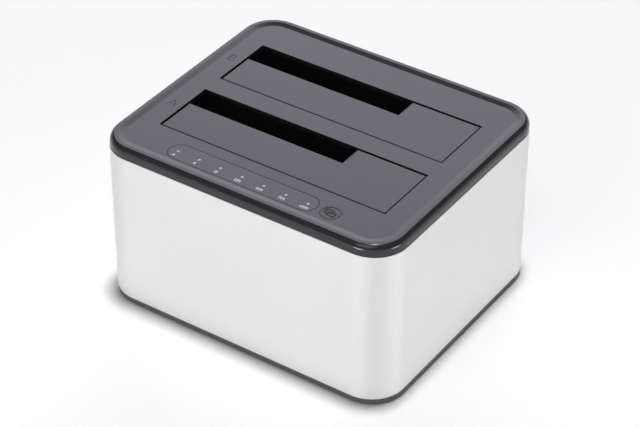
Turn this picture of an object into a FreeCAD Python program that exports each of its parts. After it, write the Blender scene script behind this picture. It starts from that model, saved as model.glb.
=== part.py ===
import FreeCAD, Part
import math
import os
import re
import Sketcher

# Dual-bay drive duplicator. Millimetres; X runs along the front, -Y is the front, +Z is up.
# The origin is the middle of the footprint, on the surface that the feet stand on.
# Bay A is the front bay and bay B the rear one.

SIZES = {
    # aluminium sleeve: the four side walls in one piece
    "bay_margin_x": 14.85,
    "bay_margin_y": 22.25,
    "sleeve_height": 67.5,
    "sleeve_wall": 1.2,
    "corner_radius": 14.6,
    # base tray and feet
    "foot_proud": 0.8,
    "foot_radius": 5.0,
    "foot_inset": 13.0,
    "base_band": 2.4,
    "base_lip_height": 5.0,
    "vent_length": 24.0,
    "vent_breadth": 2.0,
    "vent_pitch": 4.5,
    # top cover
    "cover_rim": 4.7,
    "cover_plate": 2.0,
    "cover_lip_depth": 4.0,
    "shell_step": 0.25,
    "edge_round": 3.0,
    "crown_trim": 0.25,
    "dish_inset": 3.3,
    "dish_slope": 2.4,
    "dish_depth": 0.45,
    "lip_wall": 1.8,
    "lip_gap": 0.15,
    # screw posts, which tie the cover to the base through the sleeve
    "post_inset": 11.0,
    "post_side": 7.0,
    "post_bore_depth": 12.0,
    "base_screw_radius": 1.4,
    "base_screw_head": 2.9,
    "base_head_depth": 1.3,
    "screw_ease": 0.03,
    # drive bays
    "bay_length": 104.5,
    "bay_breadth": 30.0,
    "bay_pitch": 39.5,
    "slot_length": 73.2,
    "slot_breadth": 11.5,
    "well_wall": 1.5,
    "well_floor": 1.6,
    "well_ease": 0.2,
    "seat_height": 22.0,
    "ear_reach": 3.0,
    "ear_breadth": 12.0,
    "ear_thickness": 2.0,
    "ear_drop": 8.0,
    "hook_gap": 0.1,
    "hook_stem": 1.6,
    "hook_toe": 1.5,
    "hook_toe_height": 1.4,
    "small_screw_radius": 0.9,
    "small_screw_head": 1.65,
    "small_head_depth": 1.1,
    # flaps and their hinges
    "flap_plate": 2.0,
    "flap_sink": 0.1,
    "flap_gap_front": 0.5,
    "flap_gap_left": 0.9,
    "flap_gap_right": 0.4,
    "flap_gap_back": 0.9,
    "flap_open_gap": 0.4,
    "flap_edge_round": 0.3,
    "hinge_reach": 42.0,
    "pin_radius": 0.75,
    "pin_grip": 0.02,
    "pin_running": 0.05,
    "knuckle_wall": 0.9,
    "knuckle_gap": 0.3,
    "knuckle_length": 6.0,
    "arm_thickness": 2.0,
    "lug_thickness": 2.2,
    "lug_gap": 0.3,
    "lug_front": 2.2,
    "lug_below": 2.0,
    "swing_room": 0.6,
    "stop_reach": 1.0,
    "stop_thickness": 1.2,
    "stop_length": 8.0,
    "stop_gap": 0.1,
    "spring_room": 3.0,
    "spring_wire": 0.4,
    "spring_ease": 0.2,
    "spring_turns": 2.25,
    "spring_pitch_ease": 0.06,
    "spring_leg": 4.0,
    "spring_front_leg": 2.4,
    # main board and what stands on it
    "board_standoff": 8.8,
    "board_thickness": 1.6,
    "board_margin": 4.0,
    "standoff_side": 6.0,
    "board_screw_inset": 17.5,
    "board_screw_depth": 6.0,
    "connector_length": 42.2,
    "connector_breadth": 6.4,
    "connector_proud": 5.2,
    "connector_gap": 0.4,
    "connector_from_left": 31.6,
    "connector_from_back": 4.5,
    "connector_slot": 1.4,
    "connector_slot_depth": 5.0,
    "data_slot_length": 11.0,
    "power_slot_length": 21.0,
    "connector_key": 2.4,
    "bridge_side": 12.0,
    "bridge_height": 0.9,
    "chip_length": 6.0,
    "chip_breadth": 5.0,
    "chip_height": 1.1,
    "coil_side": 7.0,
    "coil_height": 3.0,
    "crystal_length": 5.0,
    "crystal_breadth": 3.2,
    "crystal_height": 1.3,
    "can_radius": 3.15,
    "can_height": 5.4,
    # rear ports
    "port_pitch": 22.0,
    "port_window_width": 64.0,
    "port_window_height": 19.0,
    "port_window_low": 12.5,
    "port_window_radius": 2.5,
    "port_panel_overlap": 4.0,
    "port_panel_thickness": 1.6,
    "port_ease": 0.2,
    "usb_width": 12.0,
    "usb_height": 11.2,
    "usb_length": 17.0,
    "usb_shell": 0.5,
    "usb_step_height": 7.3,
    "usb_step_width": 7.0,
    "usb_tongue_width": 5.6,
    "usb_tongue_height": 3.1,
    "usb_tongue_set_back": 1.5,
    "dc_width": 9.0,
    "dc_height": 11.0,
    "dc_length": 14.0,
    "dc_nose_radius": 4.2,
    "dc_bore_radius": 3.15,
    "dc_bore_depth": 9.5,
    "dc_pin_radius": 1.0,
    "dc_pin_set_back": 1.0,
    "switch_width": 9.6,
    "switch_height": 13.4,
    "switch_length": 12.0,
    "switch_wall": 0.8,
    "switch_bezel": 0.6,
    "switch_bezel_lap": 0.8,
    "switch_centre": 22.0,
    "switch_leg": 1.0,
    "rocker_gap": 0.2,
    "rocker_ridge": 1.2,
    "rocker_crest": 0.55,
    "rocker_depth": 2.5,
    "rocker_tilt": 7.0,
    "rocker_pivot_inset": 2.6,
    "trunnion_radius": 0.8,
    "trunnion_length": 0.5,
    # control strip in the cover
    "control_inset": 11.6,
    "led_count": 7,
    "led_end": 4.14,
    "led_shift": 4.9,
    "window_length": 68.4,
    "window_breadth": 10.05,
    "window_thickness": 0.6,
    "window_gap": 0.25,
    "pipe_side": 1.3,
    "pipe_gap": 0.1,
    "button_room": 1.9,
    "button_radius": 3.95,
    "button_gap": 0.2,
    "button_proud": 0.1,
    "button_ring": 0.5,
    "button_ring_depth": 0.15,
    "button_flange": 0.9,
    "button_flange_thickness": 0.8,
    "button_under_gap": 0.1,
    "button_stem": 1.5,
    "button_travel": 0.5,
    "collar_wall": 1.2,
    "collar_height": 2.6,
    # panel board under the control strip
    "panel_drop": 6.5,
    "panel_end": 3.0,
    "panel_breadth": 11.6,
    "panel_thickness": 1.2,
    "panel_screw_left": 4.4,
    "panel_screw_right": 4.4,
    "panel_boss_side": 4.4,
    "led_height": 0.8,
    "led_length": 1.6,
    "led_breadth": 1.0,
    "tact_size": 6.0,
    "tact_height": 3.5,
    "tact_well_depth": 1.5,
    "plunger_radius": 1.7,
    "plunger_gap": 0.1,
    "plunger_proud": 0.8,
    "ribbon_width": 9.0,
    "ribbon_thickness": 0.3,
    "ribbon_shift": 30.0,
    "ribbon_socket_length": 12.0,
    "ribbon_socket_breadth": 4.5,
    "ribbon_socket_height": 5.0,
    "ribbon_in_socket": 3.0,
}

# Places and sizes that follow from the sheet's own.
RULES = {
    # levels above the surface it stands on
    "base_top": "foot_proud + base_band",
    "seam": "base_top + sleeve_height",
    "rim_top": "seam + cover_rim",
    "dish_top": "rim_top - dish_depth",
    "cover_under": "dish_top - cover_plate",
    "board_under": "base_top + board_standoff",
    "board_top": "board_under + board_thickness",
    "well_bottom": "seat_height - well_floor",
    "panel_top": "cover_under - panel_drop",
    # plan outlines
    "sleeve_width": "bay_length + 2 * bay_margin_x",
    "sleeve_depth": "bay_pitch + bay_breadth + 2 * bay_margin_y",
    "inner_width": "sleeve_width - 2 * sleeve_wall",
    "inner_depth": "sleeve_depth - 2 * sleeve_wall",
    "inner_radius": "corner_radius - sleeve_wall",
    "shell_width": "sleeve_width - 2 * shell_step",
    "shell_depth": "sleeve_depth - 2 * shell_step",
    "shell_radius": "corner_radius - shell_step",
    "lip_width": "inner_width - 2 * lip_gap",
    "lip_depth": "inner_depth - 2 * lip_gap",
    "lip_radius": "inner_radius - lip_gap",
    "hollow_width": "lip_width - 2 * lip_wall",
    "hollow_depth": "lip_depth - 2 * lip_wall",
    "hollow_radius": "lip_radius - lip_wall",
    "post_x": "sleeve_width / 2 - post_inset",
    "post_y": "sleeve_depth / 2 - post_inset",
    "post_bore": "base_screw_radius + screw_ease",
    # bays and wells
    "well_inner_length": "bay_length + 2 * well_ease",
    "well_inner_breadth": "bay_breadth + 2 * well_ease",
    "well_length": "well_inner_length + 2 * well_wall",
    "well_breadth": "well_inner_breadth + 2 * well_wall",
    "well_height": "cover_under - well_bottom",
    "ear_end": "well_length / 2 + ear_reach",
    "ear_top": "well_height - ear_drop",
    "small_bore": "small_screw_radius + screw_ease",
    # hinge: the open flap hangs just behind the plane of the opening's front edge
    "knuckle_radius": "pin_radius + pin_running + knuckle_wall",
    "hinge_drop": "cover_plate + knuckle_gap + knuckle_radius",
    "plate_top": "hinge_drop - flap_sink",
    "plate_under": "plate_top - flap_plate",
    "hinge_setback": "plate_under - flap_open_gap",
    "hinge_z": "dish_top - hinge_drop",
    "hinge_from_bay": "bay_breadth / 2 + hinge_setback",
    "plate_front": "hinge_setback + flap_gap_front",
    "strip_back": "hinge_setback + bay_breadth - slot_breadth",
    "plate_back": "hinge_setback + bay_breadth - flap_gap_back",
    "plate_left": "flap_gap_left - bay_length / 2",
    "plate_right": "bay_length / 2 - flap_gap_right",
    "block_left": "slot_length - bay_length / 2",
    "arm_back": "plate_front + arm_thickness",
    "outer_lug": "hinge_reach + knuckle_length / 2 + lug_gap",
    "inner_lug": "hinge_reach - knuckle_length / 2 - spring_room - lug_thickness",
    "pin_length": "outer_lug + lug_thickness - inner_lug",
    "lug_back": "hinge_setback - lug_gap",
    "coil_radius": "pin_radius + spring_ease + spring_wire / 2",
    "coil_rise": "spring_wire + spring_pitch_ease",
    "stop_x": "(block_left + plate_right) / 2",
    "stop_top": "hinge_drop - cover_plate - stop_gap",
    "stop_tip": "hinge_setback + bay_breadth + stop_reach",
    "stop_wall": "hinge_setback + bay_breadth + well_ease",
    "stop_swing": "sqrt(stop_tip * stop_tip + stop_top * stop_top - stop_wall * stop_wall)",
    "arm_swing": "sqrt(arm_back * arm_back + plate_under * plate_under)",
    # electronics
    "board_width": "inner_width - 2 * board_margin",
    "board_depth": "inner_depth - 2 * board_margin",
    "notch_x": "post_x - post_side / 2 - 1",
    "notch_y": "post_y - post_side / 2 - 1",
    "board_screw_x": "sleeve_width / 2 - board_screw_inset",
    "board_screw_y": "sleeve_depth / 2 - board_screw_inset",
    "connector_x": "connector_from_left - bay_length / 2",
    "connector_in_bay_y": "bay_breadth / 2 - connector_from_back",
    "connector_height": "seat_height + connector_proud - board_top",
    # rear ports
    "panel_face": "sleeve_depth / 2 - sleeve_wall",
    "port_window_mid": "port_window_low + port_window_height / 2",
    "port_panel_low": "base_top + base_lip_height",
    "port_panel_high": "port_window_low + port_window_height + port_panel_overlap",
    "usb_mouth": "panel_face - port_ease",
    "dc_mid": "board_top + dc_height / 2",
    "rocker_width": "switch_width - 2 * switch_wall - 2 * rocker_gap",
    "rocker_height": "switch_height - 2 * switch_wall - 2 * rocker_gap",
    "rocker_pivot": "sleeve_depth / 2 - rocker_pivot_inset",
    # control strip
    "control_y": "control_inset - sleeve_depth / 2",
    "led_pitch": "(window_length - 2 * led_end) / (led_count - 1)",
    "button_x": "window_length / 2 - led_shift + button_room + button_radius",
    "panel_left": "window_length / 2 + led_shift + panel_screw_left",
    "panel_right": "button_x + button_radius + panel_screw_right",
    "button_hole": "button_radius + button_gap",
    "button_under": "cover_under - button_under_gap",
    "tact_top": "panel_top + tact_height",
    "plunger_top": "tact_top + plunger_proud",
    "led_top": "panel_top + led_height",
    "window_under": "dish_top - window_thickness",
}

BAYS = {"a": "-bay_pitch / 2", "b": "bay_pitch / 2"}
SIDES = ("-", "")
PANEL_SCREWS = ("-(panel_left)", "panel_right")

doc = FreeCAD.newDocument("drive_duplicator")
sheet = doc.addObject("Spreadsheet::Sheet", "Sizes")
for row, (word, number) in enumerate(SIZES.items(), start=1):
    sheet.set("A%d" % row, word)
    sheet.set("B%d" % row, str(number))
    sheet.setAlias("B%d" % row, word)
doc.recompute()

nodes = []


# ---------------------------------------------------------------- sizes and sketches

def spelled(rule):
    """Write a rule over the sheet's words as a FreeCAD expression."""
    def swap(match):
        word = match.group()
        if word in RULES:
            return "(" + spelled(RULES[word]) + ")"
        return "Sizes." + word if word in SIZES else word
    return re.sub(r"[a-z][a-z_]*", swap, rule)


def bind(item, place, rule):
    """Tie one property or constraint to the sheet."""
    item.setExpression(place, spelled(rule))


def size(rule):
    """The rule's present value in millimetres."""
    return float(sheet.evalExpression(spelled(rule)))


def keep(item, label):
    """Name a finished sub-part, which also names its file."""
    item.Label = label
    nodes.append(item)
    return item


def new_body(label):
    return keep(doc.addObject("PartDesign::Body", label), label)


def place(item, x="0", y="0", z="0"):
    """Tie a sub-part's place in the whole to the sheet."""
    bind(item, "Placement.Base.x", x)
    bind(item, "Placement.Base.y", y)
    bind(item, "Placement.Base.z", z)


def sketch_on(body, name, lift="0", role="XY_Plane"):
    """A sketch on one of the body's own planes, lifted along that plane's normal."""
    sketch = body.newObject("Sketcher::SketchObject", name)
    plane = [item for item in body.Origin.OriginFeatures if item.Role == role][0]
    sketch.AttachmentSupport = (plane, [""])
    sketch.MapMode = "FlatFace"
    bind(sketch, "AttachmentOffset.Base.z", lift)
    return sketch


def hold(sketch, kind, *where, rule):
    """A dimension that follows the sheet."""
    number = sketch.addConstraint(Sketcher.Constraint(kind, *where, size(rule)))
    bind(sketch, "Constraints[%d]" % number, rule)


def outline(sketch, points):
    """A closed polygon; each corner is a pair of rules."""
    corners = [FreeCAD.Vector(size(x), size(y), 0) for x, y in points]
    first = sketch.GeometryCount
    for index, corner in enumerate(corners):
        following = corners[(index + 1) % len(corners)]
        sketch.addGeometry(Part.LineSegment(corner, following), False)
    for index in range(len(points)):
        after = first + (index + 1) % len(points)
        sketch.addConstraint(Sketcher.Constraint("Coincident", first + index, 2, after, 1))
    for index, (x, y) in enumerate(points):
        hold(sketch, "DistanceX", -1, 1, first + index, 1, rule=x)
        hold(sketch, "DistanceY", -1, 1, first + index, 1, rule=y)


def rectangle(sketch, x_mid, y_mid, width, depth):
    """A rectangle by its middle and its two sides."""
    left = "%s - (%s) / 2" % (x_mid, width)
    right = "%s + (%s) / 2" % (x_mid, width)
    low = "%s - (%s) / 2" % (y_mid, depth)
    high = "%s + (%s) / 2" % (y_mid, depth)
    outline(sketch, [(left, low), (right, low), (right, high), (left, high)])


def circle(sketch, x, y, radius):
    middle = FreeCAD.Vector(size(x), size(y), 0)
    number = sketch.addGeometry(Part.Circle(middle, FreeCAD.Vector(0, 0, 1), size(radius)), False)
    hold(sketch, "Radius", number, rule=radius)
    hold(sketch, "DistanceX", -1, 1, number, 3, rule=x)
    hold(sketch, "DistanceY", -1, 1, number, 3, rule=y)


def hexagon(sketch, x, y, radius):
    """Six equal sides that touch a circle of the given radius from outside."""
    corner = 1 / math.cos(math.radians(30))
    ring = []
    for step in range(6):
        angle = math.radians(60 * step)
        across, along = corner * math.cos(angle), corner * math.sin(angle)
        ring.append(("%s + %.4f * (%s)" % (x, across, radius), "%s + %.4f * (%s)" % (y, along, radius)))
    outline(sketch, ring)


def rounded_rectangle(sketch, width, depth, radius, x="0", y="0"):
    """Four sides joined by four tangent quarter arcs."""
    reach = FreeCAD.Vector(size(width) / 2, size(depth) / 2, 0)
    middle = FreeCAD.Vector(size(x), size(y), 0)
    bend = size(radius)
    up = FreeCAD.Vector(0, 0, 1)
    sides = []
    arcs = []
    for quarter in range(4):
        turn = FreeCAD.Rotation(up, 90 * quarter)
        along, out = (reach.x, reach.y) if quarter % 2 == 0 else (reach.y, reach.x)
        start = middle + turn.multVec(FreeCAD.Vector(bend - along, -out, 0))
        end = middle + turn.multVec(FreeCAD.Vector(along - bend, -out, 0))
        sides.append(sketch.addGeometry(Part.LineSegment(start, end), False))
        hub = middle + turn.multVec(FreeCAD.Vector(along - bend, bend - out, 0))
        round_end = Part.Circle(hub, up, bend)
        low = math.radians(90 * quarter - 90)
        arcs.append(sketch.addGeometry(Part.ArcOfCircle(round_end, low, low + math.pi / 2), False))
    for quarter in range(4):
        direction = "Horizontal" if quarter % 2 == 0 else "Vertical"
        sketch.addConstraint(Sketcher.Constraint(direction, sides[quarter]))
        sketch.addConstraint(Sketcher.Constraint("Tangent", sides[quarter], 2, arcs[quarter], 1))
        after = sides[(quarter + 1) % 4]
        sketch.addConstraint(Sketcher.Constraint("Tangent", arcs[quarter], 2, after, 1))
    for quarter in range(3):
        sketch.addConstraint(Sketcher.Constraint("Equal", arcs[quarter], arcs[quarter + 1]))
    hold(sketch, "Radius", arcs[0], rule=radius)
    hold(sketch, "DistanceX", -1, 1, arcs[0], 3, rule="%s + (%s) / 2 - (%s)" % (x, width, radius))
    hold(sketch, "DistanceX", -1, 1, arcs[2], 3, rule="%s - (%s) / 2 + (%s)" % (x, width, radius))
    hold(sketch, "DistanceY", -1, 1, arcs[2], 3, rule="%s + (%s) / 2 - (%s)" % (y, depth, radius))
    hold(sketch, "DistanceY", -1, 1, arcs[0], 3, rule="%s - (%s) / 2 + (%s)" % (y, depth, radius))


def pill(sketch, x, y, length, breadth):
    """A stadium outline: two half circles joined by two level lines."""
    bend = size(breadth) / 2
    reach = size(length) / 2 - bend
    middle = FreeCAD.Vector(size(x), size(y), 0)
    arcs = []
    lines = []
    for turn, sign in ((-90, 1), (90, -1)):
        hub = middle + FreeCAD.Vector(sign * reach, 0, 0)
        low = math.radians(turn)
        ring = Part.Circle(hub, FreeCAD.Vector(0, 0, 1), bend)
        arcs.append(sketch.addGeometry(Part.ArcOfCircle(ring, low, low + math.pi), False))
        start = middle + FreeCAD.Vector(sign * reach, sign * bend, 0)
        end = middle + FreeCAD.Vector(-sign * reach, sign * bend, 0)
        lines.append(sketch.addGeometry(Part.LineSegment(start, end), False))
    for index in (0, 1):
        sketch.addConstraint(Sketcher.Constraint("Tangent", arcs[index], 2, lines[index], 1))
        sketch.addConstraint(Sketcher.Constraint("Tangent", lines[index], 2, arcs[1 - index], 1))
        sketch.addConstraint(Sketcher.Constraint("Horizontal", lines[index]))
    hold(sketch, "Radius", arcs[0], rule="(%s) / 2" % breadth)
    hold(sketch, "DistanceX", -1, 1, arcs[0], 3, rule="%s + (%s) / 2 - (%s) / 2" % (x, length, breadth))
    hold(sketch, "DistanceX", -1, 1, arcs[1], 3, rule="%s - (%s) / 2 + (%s) / 2" % (x, length, breadth))
    hold(sketch, "DistanceY", -1, 1, arcs[0], 3, rule=y)


# ---------------------------------------------------------------- features

def pad(body, sketch, length, down=False):
    """Raise a sketch along its plane's normal, or against it."""
    feature = body.newObject("PartDesign::Pad", sketch.Name + "_pad")
    feature.Profile = sketch
    bind(feature, "Length", length)
    feature.Reversed = down
    return feature


def pocket(body, sketch, depth, up=False):
    """Cut a sketch against its plane's normal, or along it, and prove that it cut."""
    doc.recompute()
    before = body.Shape.Volume
    feature = body.newObject("PartDesign::Pocket", sketch.Name + "_pocket")
    feature.Profile = sketch
    bind(feature, "Length", depth)
    feature.Reversed = up
    doc.recompute()
    if not body.Shape.Volume < before:
        raise RuntimeError(feature.Name + " cuts nothing")
    return feature


def cut_between(body, name, wide, narrow):
    """Cut a sloping recess from one sketch down to another."""
    feature = body.newObject("PartDesign::SubtractiveLoft", name)
    feature.Profile = wide
    feature.Sections = [narrow]
    feature.Ruled = True
    return feature


def soften(body, wanted, radius):
    """Round the edges of the body so far that a test picks out."""
    doc.recompute()
    base = body.Tip
    names = ["Edge%d" % number for number, edge in enumerate(base.Shape.Edges, start=1) if wanted(edge)]
    feature = body.newObject("PartDesign::Fillet", base.Name + "_round")
    feature.Base = (base, names)
    bind(feature, "Radius", radius)
    return feature


def level_at(rule):
    """Test for edges that lie flat at one height of the body."""
    height = size(rule)
    slack = 1e-4

    def wanted(edge):
        box = edge.BoundBox
        return abs(box.ZMin - height) < slack and abs(box.ZMax - height) < slack
    return wanted


def at_corners(sketch, draw, x, y, **sizes):
    """Draw one shape at the four corners that two distances give."""
    for left in SIDES:
        for front in SIDES:
            draw(sketch, left + "(" + x + ")", front + "(" + y + ")", **sizes)


# ---------------------------------------------------------------- casing

def metal_sleeve():
    """Closed aluminium tube with round corners and one window at the rear for the ports."""
    body = new_body("metal_sleeve")
    place(body, z="base_top")
    wall = sketch_on(body, "sleeve_section")
    rounded_rectangle(wall, "sleeve_width", "sleeve_depth", "corner_radius")
    rounded_rectangle(wall, "inner_width", "inner_depth", "inner_radius")
    pad(body, wall, "sleeve_height")
    window = sketch_on(body, "port_window", "-sleeve_depth / 2 - 1", role="XZ_Plane")
    rounded_rectangle(window, "port_window_width", "port_window_height", "port_window_radius",
                      y="port_window_mid - base_top")
    pocket(body, window, "sleeve_wall + 2", up=True)


def base_tray():
    """Moulded floor: outer band, lip inside the sleeve, board standoffs, screw holes and vents."""
    body = new_body("base_tray")
    place(body, z="foot_proud")
    floor = sketch_on(body, "base_floor")
    rounded_rectangle(floor, "shell_width", "shell_depth", "shell_radius")
    pad(body, floor, "base_band")
    lip = sketch_on(body, "base_lip", "base_band")
    rounded_rectangle(lip, "lip_width", "lip_depth", "lip_radius")
    rounded_rectangle(lip, "hollow_width", "hollow_depth", "hollow_radius")
    pad(body, lip, "base_lip_height")
    standoffs = sketch_on(body, "board_standoffs", "base_band")
    at_corners(standoffs, rectangle, "board_screw_x", "board_screw_y", width="standoff_side", depth="standoff_side")
    pad(body, standoffs, "board_standoff")
    pilots = sketch_on(body, "board_pilots", "base_band + board_standoff")
    for x, y in board_screw_spots():
        hexagon(pilots, x, y, "small_bore")
    pocket(body, pilots, "board_screw_depth")
    shanks = sketch_on(body, "base_screw_holes")
    at_corners(shanks, circle, "post_x", "post_y", radius="post_bore")
    pocket(body, shanks, "base_band", up=True)
    heads = sketch_on(body, "base_screw_heads")
    at_corners(heads, circle, "post_x", "post_y", radius="base_screw_head + screw_ease")
    pocket(body, heads, "base_head_depth", up=True)
    vents = sketch_on(body, "floor_vents")
    for rank in range(-3, 4):
        rectangle(vents, "0", "%d * vent_pitch" % rank, "vent_length", "vent_breadth")
    pocket(body, vents, "base_band", up=True)


def rubber_feet():
    """Four round pads under the tray."""
    body = new_body("rubber_feet")
    pads = sketch_on(body, "foot_outlines")
    at_corners(pads, circle, "sleeve_width / 2 - 2 * foot_inset", "sleeve_depth / 2 - foot_inset",
               radius="foot_radius")
    pad(body, pads, "foot_proud")


def screws(label, spots, level, head, head_depth, shank_length, down=False):
    """A group of small hexagon-headed screws, driven upward or downward from the level of their heads."""
    body = new_body(label)
    place(body, z=level)
    crowns = sketch_on(body, label + "_crowns")
    shafts = sketch_on(body, label + "_shafts")
    for x, y in spots:
        hexagon(crowns, x, y, head)
        circle(shafts, x, y, "small_screw_radius")
    pad(body, crowns, head_depth, down=not down)
    pad(body, shafts, shank_length, down=down)


def base_screws():
    """Four round-headed screws, driven up through the tray into the lid's posts."""
    body = new_body("base_screws")
    place(body, z="foot_proud")
    crowns = sketch_on(body, "base_screw_crowns")
    at_corners(crowns, circle, "post_x", "post_y", radius="base_screw_head")
    pad(body, crowns, "base_head_depth")
    shafts = sketch_on(body, "base_screw_shafts", "base_head_depth")
    at_corners(shafts, circle, "post_x", "post_y", radius="base_screw_radius")
    pad(body, shafts, "base_band - base_head_depth + post_bore_depth - 1")


def board_screw_spots():
    """The two standoffs, on a diagonal, that take a screw."""
    return [("-(board_screw_x)", "-(board_screw_y)"), ("board_screw_x", "board_screw_y")]


def port_panel():
    """Plastic plate behind the sleeve's rear window, pierced for the switch and the two sockets."""
    body = new_body("port_panel")
    place(body, y="panel_face", z="port_panel_low")
    plate = sketch_on(body, "port_plate", role="XZ_Plane")
    rectangle(plate, "0", "(port_panel_high - port_panel_low) / 2",
              "port_window_width + 2 * port_panel_overlap", "port_panel_high - port_panel_low")
    pad(body, plate, "port_panel_thickness")
    usb = sketch_on(body, "usb_hole", role="XZ_Plane")
    rectangle(usb, "-port_pitch", "board_top - port_panel_low + usb_height / 2",
              "usb_width + 2 * port_ease", "usb_height + 2 * port_ease")
    circle(usb, "0", "dc_mid - port_panel_low", "dc_nose_radius + port_ease")
    rectangle(usb, "port_pitch", "switch_centre - port_panel_low",
              "switch_width + 2 * port_ease", "switch_height + 2 * port_ease")
    pocket(body, usb, "port_panel_thickness", up=True)


def top_cover():
    """Moulded lid: rounded rim, shallow dish, two bay openings, control strip, posts and hinge lugs."""
    body = new_body("top_cover")
    place(body, z="seam")
    rim = sketch_on(body, "cover_outline")
    rounded_rectangle(rim, "shell_width", "shell_depth", "shell_radius")
    pad(body, rim, "cover_rim + crown_trim")
    soften(body, level_at("cover_rim + crown_trim"), "edge_round")
    crown = sketch_on(body, "cover_crown", "cover_rim + crown_trim")
    rounded_rectangle(crown, "shell_width", "shell_depth", "shell_radius")
    pocket(body, crown, "crown_trim")
    lip = sketch_on(body, "cover_lip")
    rounded_rectangle(lip, "lip_width", "lip_depth", "lip_radius")
    pad(body, lip, "cover_lip_depth", down=True)
    hollow = sketch_on(body, "cover_hollow", "-cover_lip_depth")
    rounded_rectangle(hollow, "hollow_width", "hollow_depth", "hollow_radius")
    pocket(body, hollow, "cover_lip_depth + cover_under - seam", up=True)
    wide = sketch_on(body, "dish_edge", "cover_rim")
    rounded_rectangle(wide, "shell_width - 2 * dish_inset", "shell_depth - 2 * dish_inset",
                      "shell_radius - dish_inset")
    narrow = sketch_on(body, "dish_floor", "cover_rim - dish_depth")
    rounded_rectangle(narrow, "shell_width - 2 * (dish_inset + dish_slope)",
                      "shell_depth - 2 * (dish_inset + dish_slope)",
                      "shell_radius - dish_inset - dish_slope")
    cut_between(body, "dish", wide, narrow)
    openings = sketch_on(body, "bay_openings", "dish_top - seam")
    for middle in BAYS.values():
        rectangle(openings, "0", middle, "bay_length", "bay_breadth")
    pocket(body, openings, "cover_plate")
    strip = sketch_on(body, "window_recess", "dish_top - seam")
    pill(strip, "-led_shift", "control_y", "window_length", "window_breadth")
    pocket(body, strip, "window_thickness")
    lamps = sketch_on(body, "lamp_holes", "dish_top - seam")
    rectangle(lamps, "-led_shift - (led_count - 1) / 2 * led_pitch", "control_y", "pipe_side + 2 * pipe_gap",
              "pipe_side + 2 * pipe_gap")
    first = pocket(body, lamps, "cover_plate")
    row = body.newObject("PartDesign::LinearPattern", "lamp_row")
    row.Originals = [first]
    row.Direction = (lamps, ["H_Axis"])
    bind(row, "Length", "led_pitch * (led_count - 1)")
    bind(row, "Occurrences", "led_count")
    body.Tip = row
    cover_underside(body)


def cover_underside(body):
    """What the lid carries below: collar, posts, pillars, well hooks and the lugs for the hinge pins."""
    under = "cover_under - seam"
    collar = sketch_on(body, "button_collar", under)
    circle(collar, "button_x", "control_y", "button_radius + button_flange + collar_wall + button_gap")
    pad(body, collar, "collar_height", down=True)
    flange_room = sketch_on(body, "button_flange_room", under + " - collar_height")
    circle(flange_room, "button_x", "control_y", "button_radius + button_flange + button_gap")
    pocket(body, flange_room, "collar_height", up=True)
    hole = sketch_on(body, "button_hole", "dish_top - seam")
    circle(hole, "button_x", "control_y", "button_hole")
    pocket(body, hole, "cover_plate")
    posts = sketch_on(body, "screw_posts", under)
    at_corners(posts, rectangle, "post_x", "post_y", width="post_side", depth="post_side")
    pad(body, posts, "cover_under - base_top", down=True)
    bores = sketch_on(body, "post_bores", "base_top - seam")
    at_corners(bores, hexagon, "post_x", "post_y", radius="post_bore")
    pocket(body, bores, "post_bore_depth", up=True)
    pillars = sketch_on(body, "panel_bosses", under)
    holes = sketch_on(body, "panel_pilots", under + " - panel_drop")
    for x in PANEL_SCREWS:
        rectangle(pillars, x, "control_y", "panel_boss_side", "panel_boss_side")
        hexagon(holes, x, "control_y", "small_bore")
    pad(body, pillars, "panel_drop", down=True)
    pocket(body, holes, "panel_drop", up=True)
    for side in SIDES:
        for name, start in (("outer", "outer_lug"), ("inner", "inner_lug")):
            lift = start if side == "" else "-(%s) - lug_thickness" % start
            hinge_lugs(body, "%s_lugs_%s" % (name, "right" if side == "" else "left"), lift)
    for letter, middle in BAYS.items():
        well_hooks(body, "hooks_" + letter, middle)


def hinge_lugs(body, name, lift):
    """One pair of lugs, for the two bays, under the lid. Their six-sided holes grip the pins on flats."""
    ears = sketch_on(body, name, lift, role="YZ_Plane")
    for middle in BAYS.values():
        axis = "(%s - hinge_from_bay)" % middle
        low = "hinge_z - seam - lug_below"
        high = "cover_under - seam"
        front = axis + " - lug_front"
        back = axis + " + lug_back"
        outline(ears, [(front, low), (back, low), (back, high), (front, high)])
        hexagon(ears, axis, "hinge_z - seam", "pin_radius + pin_grip")
    pad(body, ears, "lug_thickness")


def well_hooks(body, name, middle):
    """Two hooks whose toes catch under the ears of one well and hold its rim against the lid."""
    hooks = sketch_on(body, name, "-(%s) - ear_breadth / 2" % middle, role="XZ_Plane")
    top = "cover_under - seam"
    heel = top + " - ear_drop - ear_thickness"
    sole = heel + " - hook_toe_height"
    for side in SIDES:
        tip = side + "(ear_end - hook_toe)"
        inside = side + "(ear_end + hook_gap)"
        outside = side + "(ear_end + hook_gap + hook_stem)"
        outline(hooks, [(inside, top), (outside, top), (outside, sole), (tip, sole), (tip, heel), (inside, heel)])
    pad(body, hooks, "ear_breadth")


# ---------------------------------------------------------------- bays

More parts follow.
